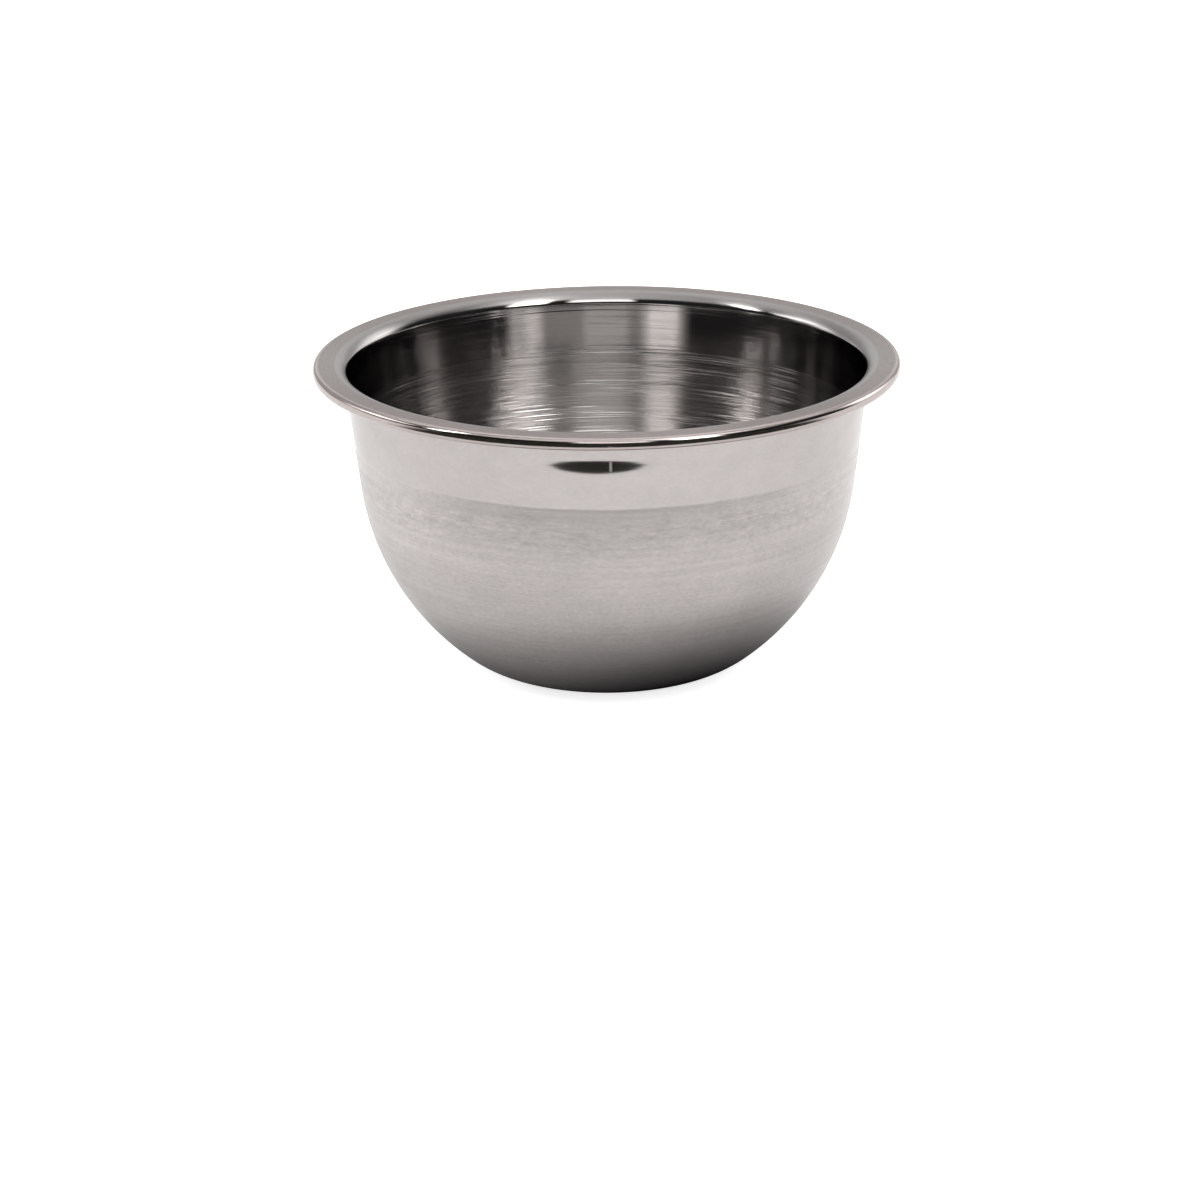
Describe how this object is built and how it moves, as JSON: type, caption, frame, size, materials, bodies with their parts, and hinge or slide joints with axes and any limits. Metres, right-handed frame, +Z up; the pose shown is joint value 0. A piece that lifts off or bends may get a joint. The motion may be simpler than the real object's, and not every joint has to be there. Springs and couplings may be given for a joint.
{
  "type": "shaving bowl",
  "caption": "Round stainless-steel shaving lather bowl with a small flat base, a deep rounded belly and a flat turned-out rim with a curled edge.",
  "frame": {"origin": "centre of the flat base's underside, where the bowl rests on a table", "axes": "+Z up along the bowl's axis of revolution, out of its mouth; the bowl is round, so +X and +Y are arbitrary"},
  "size_m": [0.12, 0.12, 0.065],
  "materials": {
    "steel": "Satin stainless steel, brushed round the axis inside and on the lower part of the outside. The outside's upper band and the curled edge are polished bright, and the rim's flat top is a fine satin."
  },
  "bodies": {
    "root": {"bowl": "steel"}
  },
  "joints": []
}
